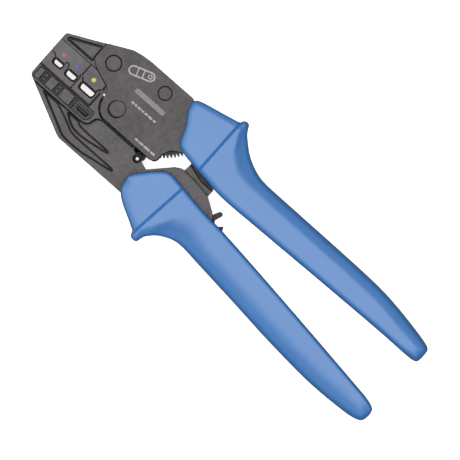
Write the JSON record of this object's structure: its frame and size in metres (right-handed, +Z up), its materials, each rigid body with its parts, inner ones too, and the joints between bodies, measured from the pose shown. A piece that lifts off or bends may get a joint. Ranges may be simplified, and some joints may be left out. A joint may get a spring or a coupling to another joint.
{
  "type": "crimping tool",
  "caption": "Ratchet hand crimping tool: plastic-gripped handles close a pivoting jaw through a toggle link and press insulated terminals between colour-marked dies.",
  "frame": {"origin": "under the middle of the tool's outer box, on the surface that it lies on", "axes": "+Y from the handles to the jaws, +X towards the fixed handle, +Z up out of the tool's front face"},
  "size_m": [0.0746, 0.2188, 0.02],
  "materials": {
    "steel": "dark burnished, satin",
    "die_steel": "burnished, fine satin",
    "black_steel": "black oxide",
    "pin_steel": "turned, satin",
    "spring_steel": "bright drawn wire",
    "grip_plastic": "satin moulded blue plastic",
    "red_paint": "paint in a drilled spot",
    "blue_paint": "paint in a drilled spot",
    "yellow_paint": "paint in a drilled spot"
  },
  "bodies": {
    "frame": {"front_side_plate": "steel", "rear_side_plate": "steel", "fixed_jaw": "steel", "main_pivot_pin": "pin_steel", "head_rivet": "pin_steel", "sector_pivot_pin": "pin_steel", "link_pivot_pin": "pin_steel", "pawl_pivot_pin": "pin_steel", "tang_spacer": "black_steel", "tang_rivet_upper": "pin_steel", "tang_rivet_lower": "pin_steel", "fixed_die_small": "die_steel", "fixed_die_large": "die_steel", "red_size_dot": "red_paint", "blue_size_dot": "blue_paint", "yellow_size_dot": "yellow_paint", "pawl_spring": "spring_steel", "spring_post": "pin_steel", "jaw_return_spring": "spring_steel", "fixed_grip": "grip_plastic"},
    "jaw": {"moving_jaw": "steel", "moving_die_small": "die_steel", "moving_die_large": "die_steel"},
    "lever": {"lever_front_plate": "steel", "lever_rear_plate": "steel", "lever_core": "black_steel", "lever_pivot_pin": "pin_steel", "knee_pin": "pin_steel", "lever_rivet_upper": "pin_steel", "lever_rivet_lower": "pin_steel", "moving_grip": "grip_plastic"},
    "link": {"toggle_link": "steel"},
    "sector": {"ratchet_sector": "black_steel"},
    "pawl": {"ratchet_pawl": "black_steel"}
  },
  "joints": [
    {"name": "jaw_pivot", "type": "hinge", "parent": "frame", "child": "jaw", "pos_m": [0.00275, 0.06905, 0.01], "axis": [0, 0, 1], "range_deg": [0, 11.01], "deforming": ["jaw_return_spring"]},
    {"name": "handle", "type": "hinge", "parent": "jaw", "child": "lever", "pos_m": [-0.01925, 0.03505, 0.01], "axis": [0, 0, -1], "range_deg": [0, 39.71]},
    {"name": "knee", "type": "hinge", "parent": "lever", "child": "link", "pos_m": [-0.00675, 0.02555, 0.01], "axis": [0, 0, 1], "range_deg": [0, 54.9]},
    {"name": "sector_pivot", "type": "hinge", "parent": "frame", "child": "sector", "pos_m": [0.02225, 0.05755, 0.01], "axis": [0, 0, 1], "range_deg": [0, 14.01]},
    {"name": "pawl_pivot", "type": "hinge", "parent": "frame", "child": "pawl", "pos_m": [0.02425, 0.02055, 0.01], "axis": [0, 0, 1], "range_deg": [0, 10], "stiffness_Nm_per_rad": 0.05}
  ],
  "couplings": [
    {"joint": "jaw_pivot", "follows": "handle", "ratio": 0.27702},
    {"joint": "knee", "follows": "handle", "ratio": 1.3816},
    {"joint": "sector_pivot", "follows": "handle", "ratio": 0.35257}
  ]
}
